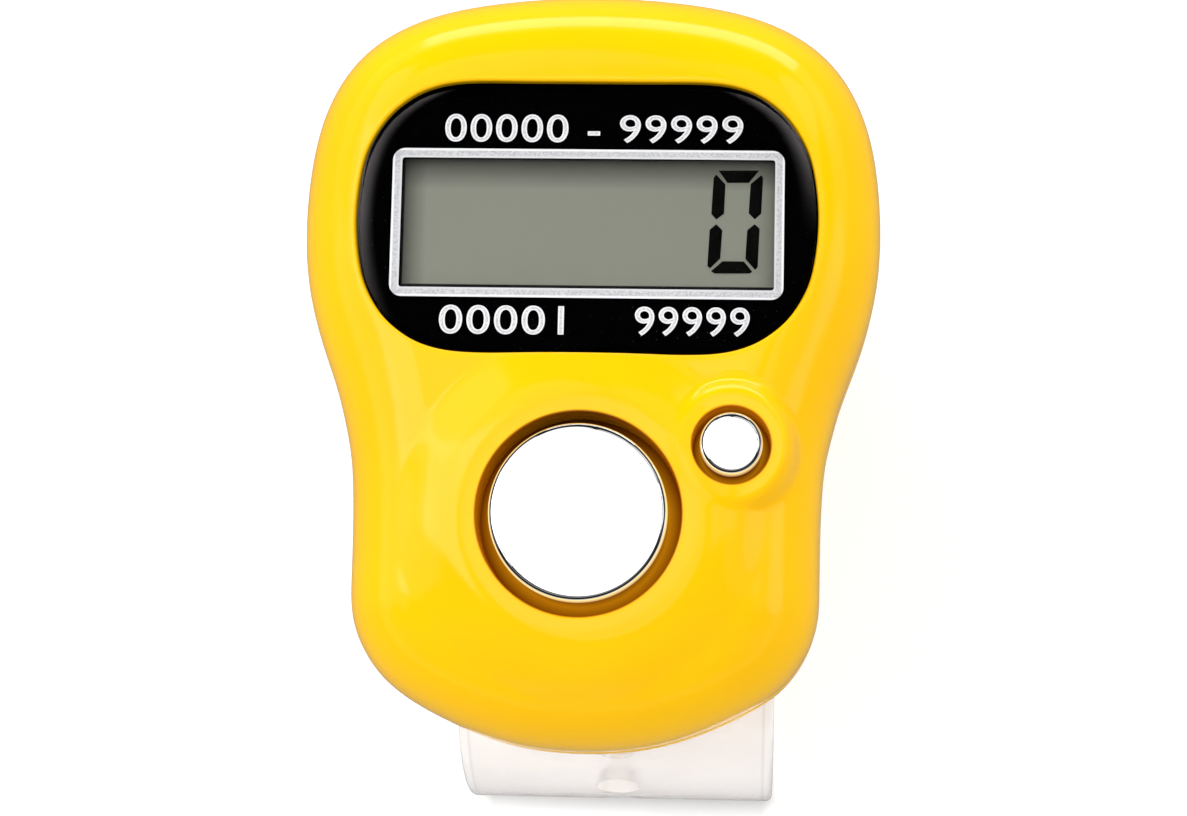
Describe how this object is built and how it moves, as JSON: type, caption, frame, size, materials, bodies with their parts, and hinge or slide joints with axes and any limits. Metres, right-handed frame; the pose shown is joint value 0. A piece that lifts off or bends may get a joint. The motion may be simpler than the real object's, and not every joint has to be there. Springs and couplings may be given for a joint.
{
  "type": "digital tally counter",
  "caption": "Finger tally counter: pear shaped plastic case with a display window, a large round count button, a small reset button and a soft clear strap loop behind.",
  "frame": {"origin": "on the ground under the strap loop, at the middle of the counter's width and length", "axes": "+Z out of the face, through the buttons and display; +Y from the buttons towards the display, along the case; +X to the right of the display"},
  "size_m": [0.029, 0.0398, 0.0322],
  "materials": {
    "case": "glossy injection moulded yellow plastic",
    "lens": "clear polished acrylic window",
    "silver_print": "silver ink printed behind the window",
    "black_print": "black ink printed behind the window",
    "display_glass": "grey green display glass with its polarizer",
    "reflector": "satin reflecting film",
    "connector_rubber": "layered conductive and plain silicone",
    "foam": "soft black foam rubber",
    "button_chrome": "bright chrome plating on plastic",
    "key_rubber": "matt grey silicone",
    "board": "green solder mask on glass fibre board",
    "gold_plate": "gold plated copper",
    "resin": "black potting resin",
    "ceramic": "brown fired ceramic",
    "cell_steel": "nickel plated steel can",
    "contact_steel": "plated spring metal",
    "screw_steel": "zinc plated steel",
    "strap": "clear soft plastic with a faint warm tint"
  },
  "bodies": {
    "case": {"front_case": "case", "rear_cover": "case", "display_lens": "lens", "display_trim": "silver_print", "window_label": "black_print", "lcd_front_glass": "display_glass", "lcd_rear_glass": "display_glass", "lcd_reflector": "reflector", "zebra_connector": "connector_rubber", "lcd_foam_strip": "foam", "count_rubber_key": "key_rubber", "reset_rubber_key": "key_rubber", "circuit_board": "board", "count_contact_pad": "gold_plate", "reset_contact_pad": "gold_plate", "chip_blob": "resin", "capacitor": "ceramic", "resistor": "resin", "battery_cell": "cell_steel", "battery_leaf_contact": "contact_steel", "battery_clip_contact": "contact_steel", "case_screw_left": "screw_steel", "case_screw_right": "screw_steel", "board_screw_left": "screw_steel", "board_screw_right": "screw_steel", "board_screw_lower": "screw_steel", "finger_strap": "strap"},
    "count_button": {"count_button": "button_chrome"},
    "reset_button": {"reset_button": "button_chrome"}
  },
  "joints": [
    {"name": "count_press", "type": "slide", "parent": "case", "child": "count_button", "axis": [0, 0, -1], "range_m": [0, 0.0009], "stiffness_N_per_m": 800, "springref_m": -0.0004, "deforming": ["count_rubber_key"]},
    {"name": "reset_press", "type": "slide", "parent": "case", "child": "reset_button", "axis": [0, 0, -1], "range_m": [0, 0.0008], "stiffness_N_per_m": 800, "springref_m": -0.0004, "deforming": ["reset_rubber_key"]}
  ]
}
